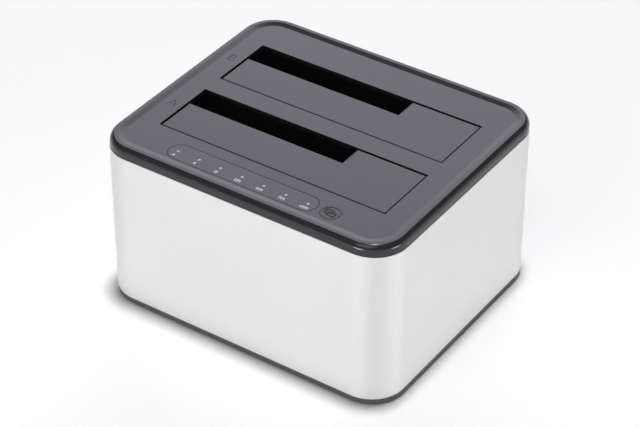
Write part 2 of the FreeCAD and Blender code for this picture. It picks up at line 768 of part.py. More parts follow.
def bay_well(letter, middle):
    """Guide box that a drive slides down: open top, connector window in its floor, hinge notches."""
    label = "bay_well_" + letter
    body = new_body(label)
    place(body, y=middle, z="well_bottom")
    walls = sketch_on(body, label + "_outline")
    rectangle(walls, "0", "0", "well_length", "well_breadth")
    pad(body, walls, "well_height")
    ears = sketch_on(body, label + "_ears", "ear_top")
    rectangle(ears, "0", "0", "2 * (ear_end)", "ear_breadth")
    pad(body, ears, "ear_thickness", down=True)
    cavity = sketch_on(body, label + "_cavity", "well_height")
    rectangle(cavity, "0", "0", "well_inner_length", "well_inner_breadth")
    pocket(body, cavity, "well_height - well_floor")
    window = sketch_on(body, label + "_connector_window", "well_floor")
    rectangle(window, "connector_x", "connector_in_bay_y", "connector_length + 2 * connector_gap",
              "connector_breadth + 2 * connector_gap")
    pocket(body, window, "well_floor")
    notches = sketch_on(body, label + "_hinge_notches", "well_height")
    for side in SIDES:
        rectangle(notches, side + "(inner_lug + pin_length / 2)", "-well_breadth / 2 + well_wall / 2",
                  "pin_length + 2 * swing_room", "well_wall")
    pocket(body, notches, "hinge_drop - cover_plate + arm_swing + swing_room")
    stop = sketch_on(body, label + "_stop_notch", "well_height")
    rectangle(stop, "stop_x", "well_breadth / 2 - well_wall / 2", "stop_length + 2 * swing_room", "well_wall")
    pocket(body, stop, "hinge_drop - cover_plate + stop_swing + stop_thickness + swing_room")


def flap(letter, middle):
    """L-shaped door on two knuckles; its own zero is the hinge axis. The cut corner is the small slot."""
    label = "flap_" + letter
    body = new_body(label)
    place(body, y="%s - hinge_from_bay" % middle, z="hinge_z")
    plate = sketch_on(body, label + "_plate", "plate_under")
    outline(plate, [("plate_left", "plate_front"), ("plate_right", "plate_front"),
                    ("plate_right", "plate_back"), ("block_left", "plate_back"),
                    ("block_left", "strip_back"), ("plate_left", "strip_back")])
    pad(body, plate, "flap_plate")
    soften(body, level_at("plate_top"), "flap_edge_round")
    for side in SIDES:
        start = "hinge_reach - knuckle_length / 2" if side == "" else "-hinge_reach - knuckle_length / 2"
        name = "%s_%s" % (label, "right" if side == "" else "left")
        arm = sketch_on(body, name + "_arm", start, role="YZ_Plane")
        outline(arm, [("0", "-knuckle_radius"), ("arm_back", "-knuckle_radius"), ("arm_back", "plate_under"),
                      ("plate_front", "plate_under"), ("plate_front", "knuckle_radius"),
                      ("0", "knuckle_radius")])
        pad(body, arm, "knuckle_length")
        knuckle = sketch_on(body, name + "_knuckle", start, role="YZ_Plane")
        circle(knuckle, "0", "0", "knuckle_radius")
        pad(body, knuckle, "knuckle_length")
        bore = sketch_on(body, name + "_bore", start, role="YZ_Plane")
        circle(bore, "0", "0", "pin_radius + pin_running")
        pocket(body, bore, "knuckle_length", up=True)
    stop = sketch_on(body, label + "_stop", "stop_top")
    front = "plate_back - arm_thickness"
    rectangle(stop, "stop_x", "(stop_tip + %s) / 2" % front, "stop_length", "stop_tip - (%s)" % front)
    pad(body, stop, "stop_thickness", down=True)


def hinge_pins(letter, middle):
    """Two steel pins, each pressed into a pair of lugs and carrying one knuckle."""
    label = "hinge_pins_" + letter
    body = new_body(label)
    place(body, y="%s - hinge_from_bay" % middle, z="hinge_z")
    for side, name in zip(SIDES, ("left", "right")):
        start = "inner_lug" if side == "" else "-inner_lug - pin_length"
        shaft = sketch_on(body, "%s_%s" % (label, name), start, role="YZ_Plane")
        circle(shaft, "0", "0", "pin_radius")
        pad(body, shaft, "pin_length")


def flap_spring(letter, middle):
    """Torsion spring round the right-hand pin: one leg under the flap, the other down its front."""
    label = "flap_spring_" + letter
    body = new_body(label)
    section = sketch_on(body, label + "_section", role="XZ_Plane")
    rectangle(section, "coil_radius", "0", "spring_wire", "spring_wire")
    coil = body.newObject("PartDesign::AdditiveHelix", label + "_coil")
    coil.Profile = section
    coil.ReferenceAxis = (section, ["V_Axis"])
    coil.Mode = 0
    bind(coil, "Pitch", "coil_rise")
    bind(coil, "Height", "coil_rise * spring_turns")
    pad(body, section, "spring_leg").Label = label + "_rear_leg"
    last = sketch_on(body, label + "_front_leg", role="YZ_Plane")
    rectangle(last, "coil_radius", "coil_rise * spring_turns", "spring_wire", "spring_wire")
    pad(body, last, "spring_front_leg", down=True)
    place(body, "hinge_reach - knuckle_length / 2 - spring_room + spring_wire", "%s - hinge_from_bay" % middle,
          "hinge_z")
    sideways = FreeCAD.Rotation(FreeCAD.Vector(0, 0, 1), FreeCAD.Vector(0, -1, 0), FreeCAD.Vector(1, 0, 0), "ZXY")
    body.Placement = FreeCAD.Placement(body.Placement.Base, sideways)


# ---------------------------------------------------------------- electronics

def main_board():
    """Circuit board on the tray's standoffs, notched round the screw posts."""
    body = new_body("main_board")
    place(body, z="board_under")
    sheet_outline = sketch_on(body, "board_outline")
    wide, deep = "board_width / 2", "board_depth / 2"
    points = []
    for side, front in (("-", "-"), ("", "-"), ("", ""), ("-", "")):
        inner = (side + "(notch_x)", front + "(" + deep + ")")
        elbow = (side + "(notch_x)", front + "(notch_y)")
        outer = (side + "(" + wide + ")", front + "(notch_y)")
        turned = side == front
        points += [outer, elbow, inner] if turned else [inner, elbow, outer]
    outline(sheet_outline, points)
    pad(body, sheet_outline, "board_thickness")
    holes = sketch_on(body, "board_holes")
    for x, y in board_screw_spots():
        circle(holes, x, y, "small_bore")
    pocket(body, holes, "board_thickness", up=True)


def sata_connector(letter, middle):
    """Upright drive socket: L-shaped data and power slots in one block that rises into the well."""
    label = "sata_connector_" + letter
    body = new_body(label)
    place(body, x="connector_x", y="%s + connector_in_bay_y" % middle, z="board_top")
    block = sketch_on(body, label + "_block")
    rectangle(block, "0", "0", "connector_length", "connector_breadth")
    pad(body, block, "connector_height")
    slots = sketch_on(body, label + "_slots", "connector_height")
    half = "connector_slot / 2"
    runs = (("(1 - connector_length / 2)", "data_slot_length"), ("(data_slot_length - connector_length / 2 + 4)",
                                                                "power_slot_length"))
    for start, length in runs:
        end = start + " + " + length
        elbow = end + " - connector_slot"
        outline(slots, [(start, "-" + half), (end, "-" + half), (end, "connector_key"),
                        (elbow, "connector_key"), (elbow, half), (start, half)])
    pocket(body, slots, "connector_slot_depth")


def board_parts():
    """Chips, coils, crystal and capacitors in the low space between board and wells."""
    right, left = "board_width / 5", "-0.42 * board_width"
    groups = (
        ("bridge_chip", "bridge_height", "bridge_side", "bridge_side", ((right, "0"),)),
        ("support_chips", "chip_height", "chip_length", "chip_breadth",
         (("board_width / 20", "0"), ("0.36 * board_width", "-board_depth / 16"),
          ("0.36 * board_width", "board_depth / 16"), (right, "-board_depth / 5"))),
        ("power_coils", "coil_height", "coil_side", "coil_side", ((left, "0"), (left, "-board_depth / 5"))),
        ("clock_crystal", "crystal_height", "crystal_length", "crystal_breadth", ((right, "board_depth / 8"),)),
    )
    for label, height, length, breadth, spots in groups:
        body = new_body(label)
        place(body, z="board_top")
        plan = sketch_on(body, label + "_plan")
        for x, y in spots:
            rectangle(plan, x, y, length, breadth)
        pad(body, plan, height)
    body = new_body("capacitors")
    place(body, z="board_top")
    cans = sketch_on(body, "capacitor_plan")
    for x, y in ((left, "board_depth / 5"), (left, "board_depth / 3.2"), ("board_width / 3.2", "board_depth / 2.6")):
        circle(cans, x, y, "can_radius")
    pad(body, cans, "can_height")


def usb_port():
    """Type B socket: folded metal shell with a stepped mouth and the contact tongue inside."""
    shell = new_body("usb_port_shell")
    place(shell, x="-port_pitch", y="usb_mouth", z="board_top")
    outside = sketch_on(shell, "usb_outside", role="XZ_Plane")
    rectangle(outside, "0", "usb_height / 2", "usb_width", "usb_height")
    pad(shell, outside, "usb_length")
    mouth = sketch_on(shell, "usb_mouth", role="XZ_Plane")
    wide = "(usb_width / 2 - usb_shell)"
    slim = "(usb_step_width / 2)"
    top = "usb_height - usb_shell"
    outline(mouth, [("-" + wide, "usb_shell"), (wide, "usb_shell"), (wide, "usb_step_height"),
                    (slim, "usb_step_height"), (slim, top), ("-" + slim, top),
                    ("-" + slim, "usb_step_height"), ("-" + wide, "usb_step_height")])
    pocket(shell, mouth, "usb_length - usb_shell", up=True)
    tongue = new_body("usb_tongue")
    place(tongue, x="-port_pitch", y="usb_mouth - usb_length + usb_shell", z="board_top")
    core = sketch_on(tongue, "usb_tongue_end", role="XZ_Plane")
    rectangle(core, "0", "(usb_shell + usb_step_height) / 2", "usb_tongue_width", "usb_tongue_height")
    pad(tongue, core, "usb_length - usb_shell - usb_tongue_set_back", down=True)


def dc_jack():
    """Barrel socket for the power supply: block, round nose in the panel and centre pin."""
    body = new_body("dc_jack")
    back = "panel_face - port_panel_thickness"
    place(body, y=back, z="board_top")
    block = sketch_on(body, "dc_block", role="XZ_Plane")
    rectangle(block, "0", "dc_height / 2", "dc_width", "dc_height")
    pad(body, block, "dc_length")
    nose = sketch_on(body, "dc_nose", role="XZ_Plane")
    circle(nose, "0", "dc_height / 2", "dc_nose_radius")
    pad(body, nose, "port_panel_thickness", down=True)
    bore = sketch_on(body, "dc_bore", "-port_panel_thickness", role="XZ_Plane")
    circle(bore, "0", "dc_height / 2", "dc_bore_radius")
    pocket(body, bore, "dc_bore_depth", up=True)
    pin = new_body("dc_centre_pin")
    place(pin, y="panel_face - dc_bore_depth", z="board_top")
    rod = sketch_on(pin, "dc_pin_end", role="XZ_Plane")
    circle(rod, "0", "dc_height / 2", "dc_pin_radius")
    pad(pin, rod, "dc_bore_depth - dc_pin_set_back", down=True)


def power_switch():
    """Board-mounted rocker switch: hollow body with a bezel and two legs, and the tilting rocker."""
    body = new_body("power_switch_body")
    place(body, x="port_pitch", y="panel_face", z="switch_centre")
    block = sketch_on(body, "switch_block", role="XZ_Plane")
    rectangle(block, "0", "0", "switch_width", "switch_height")
    pad(body, block, "switch_length")
    bezel = sketch_on(body, "switch_bezel", role="XZ_Plane")
    rectangle(bezel, "0", "0", "switch_width + 2 * switch_bezel_lap", "switch_height + 2 * switch_bezel_lap")
    pad(body, bezel, "switch_bezel", down=True)
    well = sketch_on(body, "switch_well", "-switch_bezel", role="XZ_Plane")
    rectangle(well, "0", "0", "switch_width - 2 * switch_wall", "switch_height - 2 * switch_wall")
    pocket(body, well, "switch_length + switch_bezel - switch_wall", up=True)
    holes = sketch_on(body, "trunnion_holes", "-switch_width / 2", role="YZ_Plane")
    circle(holes, "rocker_pivot - panel_face", "0", "trunnion_radius + pin_running")
    pocket(body, holes, "switch_width", up=True)
    legs = sketch_on(body, "switch_legs", "-switch_height / 2")
    for side in SIDES:
        for reach in ("0.25", "0.75"):
            rectangle(legs, side + "switch_width / 4", "-%s * switch_length" % reach, "switch_leg", "switch_leg")
    pad(body, legs, "switch_centre - switch_height / 2 - board_top", down=True)
    rocker = new_body("power_rocker")
    place(rocker, x="port_pitch", y="rocker_pivot", z="switch_centre")
    turn = FreeCAD.Rotation(FreeCAD.Vector(1, 0, 0), -size("rocker_tilt"))
    rocker.Placement = FreeCAD.Placement(rocker.Placement.Base, turn)
    face = sketch_on(rocker, "rocker_profile", "-(rocker_width) / 2", role="YZ_Plane")
    tall = "(rocker_height / 2)"
    crest = "rocker_ridge + rocker_crest"
    outline(face, [("rocker_ridge", "0"), (crest, tall), ("0", tall), ("-rocker_depth", tall + " / 2"),
                   ("-rocker_depth", "-" + tall + " / 2"), ("0", "-" + tall), (crest, "-" + tall)])
    pad(rocker, face, "rocker_width")
    axle = sketch_on(rocker, "rocker_axle", "-(rocker_width) / 2 - trunnion_length", role="YZ_Plane")
    circle(axle, "0", "0", "trunnion_radius")
    pad(rocker, axle, "rocker_width + 2 * trunnion_length")


# ---------------------------------------------------------------- control strip

def indicator_window():
    """Thin pill-shaped inlay over the lamps."""
    body = new_body("indicator_window")
    place(body, x="-led_shift", y="control_y", z="window_under")
    inlay = sketch_on(body, "window_outline")
    pill(inlay, "0", "0", "window_length - 2 * window_gap", "window_breadth - 2 * window_gap")
    pad(body, inlay, "window_thickness")


def lamp_spots():
    """Middles of the lamps, left to right, from the strip's own zero."""
    count = int(size("led_count"))
    return ["%g * led_pitch - led_shift" % (rank - (count - 1) / 2) for rank in range(count)]


def lamps():
    """Small lamps on the panel board and the clear rods that lead their light to the window."""
    leds = new_body("indicator_leds")
    place(leds, y="control_y", z="panel_top")
    pipes = new_body("light_pipes")
    place(pipes, y="control_y", z="led_top")
    chips = sketch_on(leds, "led_plan")
    rods = sketch_on(pipes, "pipe_plan")
    for x in lamp_spots():
        rectangle(chips, x, "0", "led_length", "led_breadth")
        rectangle(rods, x, "0", "pipe_side", "pipe_side")
    pad(leds, chips, "led_height")
    pad(pipes, rods, "window_under - (led_top)")


def panel_board():
    """Narrow circuit board that carries the lamps and the push switch."""
    body = new_body("panel_board")
    place(body, y="control_y", z="panel_top - panel_thickness")
    plan = sketch_on(body, "panel_outline")
    rectangle(plan, "((panel_right) - (panel_left)) / 2", "0", "panel_left + panel_right + 2 * panel_end",
              "panel_breadth")
    pad(body, plan, "panel_thickness")
    holes = sketch_on(body, "panel_holes")
    for x in PANEL_SCREWS:
        circle(holes, x, "0", "small_bore")
    pocket(body, holes, "panel_thickness", up=True)


def clone_button():
    """Round key with a ringed face, a flange that keeps it in the cover and a stem."""
    body = new_body("clone_button")
    place(body, x="button_x", y="control_y", z="button_under")
    cap = sketch_on(body, "button_face")
    circle(cap, "0", "0", "button_radius")
    pad(body, cap, "dish_top + button_proud - (button_under)")
    flange = sketch_on(body, "button_flange")
    circle(flange, "0", "0", "button_radius + button_flange")
    pad(body, flange, "button_flange_thickness", down=True)
    stem = sketch_on(body, "button_stem", "-button_flange_thickness")
    circle(stem, "0", "0", "button_stem")
    pad(body, stem, "button_under - button_flange_thickness - (plunger_top)", down=True)
    dish = sketch_on(body, "button_dish", "dish_top + button_proud - (button_under)")
    circle(dish, "0", "0", "button_radius - button_ring")
    pocket(body, dish, "button_ring_depth")


def push_switch():
    """Tact switch under the button: square body with a round well, and the plunger in it."""
    body = new_body("push_switch_body")
    place(body, x="button_x", y="control_y", z="panel_top")
    block = sketch_on(body, "tact_block")
    rectangle(block, "0", "0", "tact_size", "tact_size")
    pad(body, block, "tact_height")
    well = sketch_on(body, "tact_well", "tact_height")
    circle(well, "0", "0", "plunger_radius + plunger_gap")
    pocket(body, well, "tact_well_depth")
    plunger = new_body("push_switch_plunger")
    place(plunger, x="button_x", y="control_y", z="plunger_top")
    disc = sketch_on(plunger, "plunger_face")
    circle(disc, "0", "0", "plunger_radius")
    pad(plunger, disc, "tact_well_depth + plunger_proud - button_travel - plunger_gap", down=True)


def ribbon():
    """Flat cable from the panel board down to the main board, with a socket at each end."""
    x, y = "-ribbon_shift", "control_y"
    sockets = new_body("ribbon_sockets")
    place(sockets, x=x, y=y, z="board_top")
    lower = sketch_on(sockets, "lower_socket")
    rectangle(lower, "0", "0", "ribbon_socket_length", "ribbon_socket_breadth")
    pad(sockets, lower, "ribbon_socket_height")
    upper = sketch_on(sockets, "upper_socket", "panel_top - panel_thickness - board_top")
    rectangle(upper, "0", "0", "ribbon_socket_length", "ribbon_socket_breadth")
    pad(sockets, upper, "ribbon_socket_height", down=True)
    slots = sketch_on(sockets, "socket_slots", "ribbon_socket_height - ribbon_in_socket")
    rectangle(slots, "0", "0", "ribbon_width + 0.1", "ribbon_thickness + 0.1")
    pocket(sockets, slots, "panel_top - panel_thickness - board_top - 2 * ribbon_socket_height"
           " + 2 * ribbon_in_socket", up=True)
    cable = new_body("ribbon_cable")
    place(cable, x=x, y=y, z="board_top + ribbon_socket_height - ribbon_in_socket")
    strip = sketch_on(cable, "ribbon_section")
    rectangle(strip, "0", "0", "ribbon_width", "ribbon_thickness")
    pad(cable, strip, "panel_top - panel_thickness - board_top - 2 * ribbon_socket_height"
        " + 2 * ribbon_in_socket")


# ---------------------------------------------------------------- assembly

metal_sleeve()
base_tray()
rubber_feet()
port_panel()
top_cover()
for letter, middle in BAYS.items():
    bay_well(letter, middle)
    flap(letter, middle)
    hinge_pins(letter, middle)
    flap_spring(letter, middle)
    sata_connector(letter, middle)
main_board()
board_parts()
usb_port()
dc_jack()
power_switch()
indicator_window()
lamps()
panel_board()
clone_button()
push_switch()
ribbon()
base_screws()
screws("board_screws", board_screw_spots(), "board_top", "small_screw_head", "small_head_depth",
       "board_thickness + board_screw_depth - 1", down=True)
screws("panel_screws", [(x, "control_y") for x in PANEL_SCREWS], "panel_top - panel_thickness",
       "small_screw_head", "small_head_depth", "panel_thickness + panel_drop - 1")

doc.recompute()
for item in doc.Objects:
    if "Invalid" in item.State or "Error" in item.State:
        raise RuntimeError("%s did not build: %s" % (item.Label, item.State))
for node in nodes:
    if node.Shape.isNull() or not node.Shape.isValid():
        raise RuntimeError(node.Label + " has no valid shape")

os.makedirs("parts", exist_ok=True)
for node in nodes:
    node.Shape.exportStep("parts/%s.step" % node.Label)
    print("%-22s %2d solids %9.1f mm3" % (node.Label, len(node.Shape.Solids), node.Shape.Volume))
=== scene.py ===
import bmesh
import bpy
import math
from mathutils import Matrix, Vector


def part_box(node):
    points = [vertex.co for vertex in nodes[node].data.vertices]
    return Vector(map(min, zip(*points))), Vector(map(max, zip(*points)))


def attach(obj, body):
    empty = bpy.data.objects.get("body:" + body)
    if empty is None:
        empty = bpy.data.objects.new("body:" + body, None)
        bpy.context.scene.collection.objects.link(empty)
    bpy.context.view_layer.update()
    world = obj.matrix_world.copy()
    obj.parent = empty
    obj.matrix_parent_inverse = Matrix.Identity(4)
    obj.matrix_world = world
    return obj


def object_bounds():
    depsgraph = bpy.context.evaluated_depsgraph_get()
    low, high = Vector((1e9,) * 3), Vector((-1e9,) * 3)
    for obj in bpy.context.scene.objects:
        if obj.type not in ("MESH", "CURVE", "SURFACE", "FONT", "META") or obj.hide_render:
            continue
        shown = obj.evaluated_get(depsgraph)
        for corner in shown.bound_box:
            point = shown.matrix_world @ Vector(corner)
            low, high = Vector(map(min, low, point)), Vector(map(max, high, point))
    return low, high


# Dual-bay drive duplicator: finishes, printed marks, stage, light and camera.
# Metres; X runs along the front, -Y is the front, +Z is up. Bay A is the front bay.
MM = 0.001

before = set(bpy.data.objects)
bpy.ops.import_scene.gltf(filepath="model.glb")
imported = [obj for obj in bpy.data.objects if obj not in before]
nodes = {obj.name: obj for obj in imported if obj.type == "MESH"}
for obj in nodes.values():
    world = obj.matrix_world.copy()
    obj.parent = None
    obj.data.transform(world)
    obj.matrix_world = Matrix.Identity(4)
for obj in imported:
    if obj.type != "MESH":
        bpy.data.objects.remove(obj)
cad_low, cad_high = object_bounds()


# ---------------------------------------------------------------- materials

NOISE_ROUGHNESS = 0.55
SEED_STEPS = (1, 1.7, 0.3)  # how far one unit of seed shifts a noise along each axis
COLOUR_ENDS, COLOUR_RESULT = (6, 7), 2  # sockets of a Mix node that blends colours
NUMBER_ENDS, NUMBER_RESULT = (2, 3), 0  # and of one that blends numbers
MOTTLE_SIZE = 18 * MM  # slow change of tint over moulded plastic
SMUDGE_SIZE, SMUDGE_SEED = 7 * MM, 3.1  # and of its gloss
CLOUD_SIZE, CLOUD_SEED = 25 * MM, 2.3  # slow change of tint over metal
GRAIN_SEED = 5.7
SOLID_IOR, ACRYLIC_IOR = 1.5, 1.49
WAVE_RADIANS = 20  # how far a wave texture of scale 1 turns over one metre
INSIDE_RIM = {"X": 60 * MM, "Y": 50 * MM}  # half sizes of the lid's area inside its rim


class Recipe:
    """Small builder for one node material."""

    def __init__(self, name):
        self.material = bpy.data.materials.new(name)
        self.material.use_nodes = True
        self.tree = self.material.node_tree
        self.tree.nodes.clear()
        self.output = self.add("ShaderNodeOutputMaterial")
        self.shader = self.add("ShaderNodeBsdfPrincipled")
        self.link(self.shader.outputs["BSDF"], self.output.inputs["Surface"])
        self.source = self.add("ShaderNodeTexCoord")
        self.coordinates = self.source.outputs["Object"]

    def add(self, kind, **settings):
        node = self.tree.nodes.new(kind)
        for word, value in settings.items():
            setattr(node, word, value)
        return node

    def link(self, start, end):
        self.tree.links.new(start, end)

    def set(self, **values):
        """Give the shader plain numbers."""
        for word, value in values.items():
            self.shader.inputs[word.replace("_", " ")].default_value = value

    def noise(self, size, detail=3.0, stretch=(1, 1, 1), seed=0.0):
        """Noise with blobs about one size across, in metres."""
        mapping = self.add("ShaderNodeMapping")
        mapping.inputs["Scale"].default_value = [step / size for step in stretch]
        mapping.inputs["Location"].default_value = [seed * step for step in SEED_STEPS]
        self.link(self.coordinates, mapping.inputs["Vector"])
        texture = self.add("ShaderNodeTexNoise")
        texture.inputs["Scale"].default_value = 1.0
        texture.inputs["Detail"].default_value = detail
        texture.inputs["Roughness"].default_value = NOISE_ROUGHNESS
        self.link(mapping.outputs["Vector"], texture.inputs["Vector"])
        return texture.outputs["Fac"]

    def maths(self, operation, *values):
        node = self.add("ShaderNodeMath", operation=operation)
        for value, socket in zip(values, node.inputs):
            self.link(value, socket)
        return node.outputs[0]

    def spread(self, fac, low, high, start=0.3, end=0.7):
        """Turn a pattern between start and end into numbers between low and high."""
        node = self.add("ShaderNodeMapRange")
        node.inputs["From Min"].default_value = start
        node.inputs["From Max"].default_value = end
        node.inputs["To Min"].default_value = low
        node.inputs["To Max"].default_value = high
        self.link(fac, node.inputs["Value"])
        return node.outputs["Result"]

    def axes(self, vector):
        """The three parts of a vector, by the letter of their axis."""
        node = self.add("ShaderNodeSeparateXYZ")
        self.link(vector, node.inputs["Vector"])
        return node.outputs

    def blend(self, fac, low, high):
        """Colour between two by a pattern. Either end may be another colour output."""
        node = self.add("ShaderNodeMix", data_type="RGBA")
        for index, value in zip(COLOUR_ENDS, (low, high)):
            if isinstance(value, bpy.types.NodeSocket):
                self.link(value, node.inputs[index])
            else:
                node.inputs[index].default_value = (*value, 1)
        self.link(fac, node.inputs[0])
        return node.outputs[COLOUR_RESULT]

    def bump(self, height, depth):
        node = self.add("ShaderNodeBump")
        node.inputs["Distance"].default_value = depth
        self.link(height, node.inputs["Height"])
        return node.outputs["Normal"]

    def colour(self, output):
        self.link(output, self.shader.inputs["Base Color"])

    def roughness(self, output):
        self.link(output, self.shader.inputs["Roughness"])

    def normal(self, output):
        self.link(output, self.shader.inputs["Normal"])


def shade(colour, factor):
    return tuple(min(1.0, part * factor) for part in colour)


def moulded(name, colour, rough, grain=0.3, depth=0.004, spread=0.06, mottle=0.08):
    """Moulded or painted stuff: slight mottling, spark-eroded grain, uneven gloss."""
    recipe = Recipe(name)
    wide = recipe.noise(MOTTLE_SIZE, detail=2.0)
    recipe.colour(recipe.blend(wide, shade(colour, 1 - mottle), shade(colour, 1 + mottle)))
    smudge = recipe.noise(SMUDGE_SIZE, detail=4.0, seed=SMUDGE_SEED)
    recipe.roughness(recipe.spread(smudge, rough - spread, rough + spread))
    fine = recipe.noise(grain * MM, detail=2.0, seed=GRAIN_SEED)
    recipe.normal(recipe.bump(fine, depth * MM))
    recipe.set(IOR=SOLID_IOR)
    return recipe.material


def satin_metal(name, colour, rough, stretch=(1, 1, 1), grain=0.3, depth=0.002):
    """Anodised, rolled or plated metal with a fine drawn grain."""
    recipe = Recipe(name)
    drawn = recipe.noise(grain * MM, stretch=stretch)
    cloud = recipe.noise(CLOUD_SIZE, detail=2.0, seed=CLOUD_SEED)
    tint = recipe.blend(cloud, shade(colour, 0.975), shade(colour, 1.02))
    recipe.colour(recipe.blend(recipe.spread(drawn, 0.0, 0.12), tint, shade(colour, 0.7)))
    recipe.roughness(recipe.spread(drawn, rough - 0.05, rough + 0.05))
    recipe.normal(recipe.bump(drawn, depth * MM))
    recipe.set(Metallic=1.0, IOR=SOLID_IOR)
    return recipe.material


def circuit_board(name, mask, copper):
    """Solder mask over traces, with small tinned pads."""
    units_per_metre = 120
    traces_per_unit, trace_gap = 4.0, 0.03
    pads_per_unit, pad_edge = 3.0, (0.04, 0.06)
    dark, half_dark, bright = (0, 0, 0, 1), (0.15, 0.15, 0.15, 1), (1, 1, 1, 1)
    recipe = Recipe(name)
    mapping = recipe.add("ShaderNodeMapping")
    mapping.inputs["Scale"].default_value = [units_per_metre] * 3
    recipe.link(recipe.coordinates, mapping.inputs["Vector"])
    cells = recipe.add("ShaderNodeTexVoronoi", distance="CHEBYCHEV", feature="F1")
    cells.inputs["Scale"].default_value = pads_per_unit
    recipe.link(mapping.outputs["Vector"], cells.inputs["Vector"])
    traces = recipe.add("ShaderNodeTexBrick")
    traces.inputs["Scale"].default_value = traces_per_unit
    traces.inputs["Mortar Size"].default_value = trace_gap
    traces.inputs["Color1"].default_value = dark
    traces.inputs["Color2"].default_value = half_dark
    traces.inputs["Mortar"].default_value = bright
    recipe.link(mapping.outputs["Vector"], traces.inputs["Vector"])
    pads = recipe.spread(cells.outputs["Distance"], 1.0, 0.0, *pad_edge)
    green = recipe.blend(traces.outputs["Color"], mask, shade(mask, 2.1))
    recipe.colour(recipe.blend(pads, green, copper))
    recipe.roughness(recipe.spread(recipe.noise(4 * MM), 0.3, 0.45))
    recipe.normal(recipe.bump(traces.outputs["Color"], 0.02 * MM))
    recipe.set(IOR=SOLID_IOR)
    return recipe.material


def striped(name, colour, dark, pitch, rough):
    """Flat cable: parallel cores side by side."""
    recipe = Recipe(name)
    wave = recipe.add("ShaderNodeTexWave", bands_direction="X")
    wave.inputs["Scale"].default_value = 2 * math.pi / (WAVE_RADIANS * pitch)
    recipe.link(recipe.coordinates, wave.inputs["Vector"])
    recipe.colour(recipe.blend(wave.outputs["Fac"], dark, colour))
    recipe.roughness(recipe.spread(recipe.noise(3 * MM), rough - 0.05, rough + 0.05))
    recipe.normal(recipe.bump(wave.outputs["Fac"], 0.1 * MM))
    return recipe.material


def clear_rod(name):
    """Clear acrylic with faint draw marks."""
    recipe = Recipe(name)
    marks = recipe.noise(0.4 * MM, stretch=(1, 1, 0.05))
    recipe.colour(recipe.blend(marks, (0.86, 0.9, 0.93), (0.96, 0.98, 1.0)))
    recipe.roughness(recipe.spread(marks, 0.05, 0.15))
    recipe.normal(recipe.bump(marks, 0.002 * MM))
    recipe.set(Transmission_Weight=0.85, IOR=ACRYLIC_IOR)
    return recipe.material


def cover_shade(name, colour, rough, top):
    """Glossy plastic with painted shade: its faces below its top, inside the rim, are painted
    near black and left matt, standing in for the shade in the gaps and openings.
    """
    painted_gap_shade, edge_rough, uneven = (0.004, 0.004, 0.005), 0.85, 0.012
    edge_end, edge_start, rim_fade = 0.16 * MM, 0.08 * MM, 0.1 * MM
    recipe = Recipe(name)
    wide = recipe.noise(MOTTLE_SIZE, detail=2.0)
    face = recipe.blend(wide, shade(colour, 0.96), shade(colour, 1.04))
    place = recipe.axes(recipe.coordinates)
    # painted shade: below the top and inside the rim the colour turns near black, where gaps and
    # openings lie in shade
    painted_shade_mask = recipe.spread(place["Z"], 1.0, 0.0, top - edge_end, top - edge_start)
    for axis, limit in INSIDE_RIM.items():
        off_centre = recipe.maths("ABSOLUTE", place[axis])
        within = recipe.spread(off_centre, 1.0, 0.0, limit, limit + rim_fade)
        painted_shade_mask = recipe.maths("MULTIPLY", painted_shade_mask, within)
    recipe.colour(recipe.blend(painted_shade_mask, face, painted_gap_shade))
    smudge = recipe.noise(SMUDGE_SIZE, detail=4.0, seed=SMUDGE_SEED)
    dull = recipe.add("ShaderNodeMix", data_type="FLOAT")
    face_socket, edge_socket = (dull.inputs[index] for index in NUMBER_ENDS)
    recipe.link(painted_shade_mask, dull.inputs[0])
    recipe.link(recipe.spread(smudge, rough - uneven, rough + uneven), face_socket)
    edge_socket.default_value = edge_rough
    recipe.roughness(dull.outputs[NUMBER_RESULT])
    fine = recipe.noise(0.25 * MM, detail=2.0, seed=GRAIN_SEED)
    recipe.normal(recipe.bump(fine, 0.0012 * MM))
    recipe.set(IOR=SOLID_IOR)
    return recipe.material


def key_shade(name, colour, rough):
    """Satin key with painted shade: its upright sides, seen in the gap round it, are painted
    near black and left matt.
    """
    painted_side_shade, side_rough = (0.003, 0.003, 0.003), 0.9
    upright, level = 0.3, 0.6  # upward part of the normal, on the sides and on the top
    recipe = Recipe(name)
    wide = recipe.noise(MOTTLE_SIZE, detail=2.0)
    face = recipe.blend(wide, shade(colour, 0.95), shade(colour, 1.05))
    upward = recipe.axes(recipe.source.outputs["Normal"])["Z"]
    # painted shade: the upright sides turn near black, as the gap round the key lies in shade
    side = recipe.spread(upward, 1.0, 0.0, upright, level)
    recipe.colour(recipe.blend(side, face, painted_side_shade))
    recipe.roughness(recipe.spread(side, rough, side_rough, 0.0, 1.0))
    fine = recipe.noise(0.2 * MM, detail=2.0, seed=GRAIN_SEED)
    recipe.normal(recipe.bump(fine, 0.0012 * MM))
    recipe.set(IOR=SOLID_IOR)
    return recipe.material


def ink(name, colour):
    """Matt printed colour, a little uneven."""
    recipe = Recipe(name)
    uneven = recipe.noise(0.3 * MM, detail=2.0)
    recipe.colour(recipe.blend(uneven, shade(colour, 0.85), shade(colour, 1.1)))
    recipe.roughness(recipe.spread(recipe.noise(0.1 * MM, seed=2.0), 0.8, 0.95))
    recipe.set(Specular_IOR_Level=0.12)
    return recipe.material


CHARCOAL = (0.0175, 0.017, 0.0188)
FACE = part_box("indicator_window")[1][2]  # the inlay's top is level with the lid's face
FLAP_SINK = 0.35 * MM  # how far the flaps lie below the face
ALONG_X, ALONG_Y, ALONG_Z = (0.1, 1, 1), (1, 0.2, 1), (1, 1, 0.2)  # ways a metal was drawn
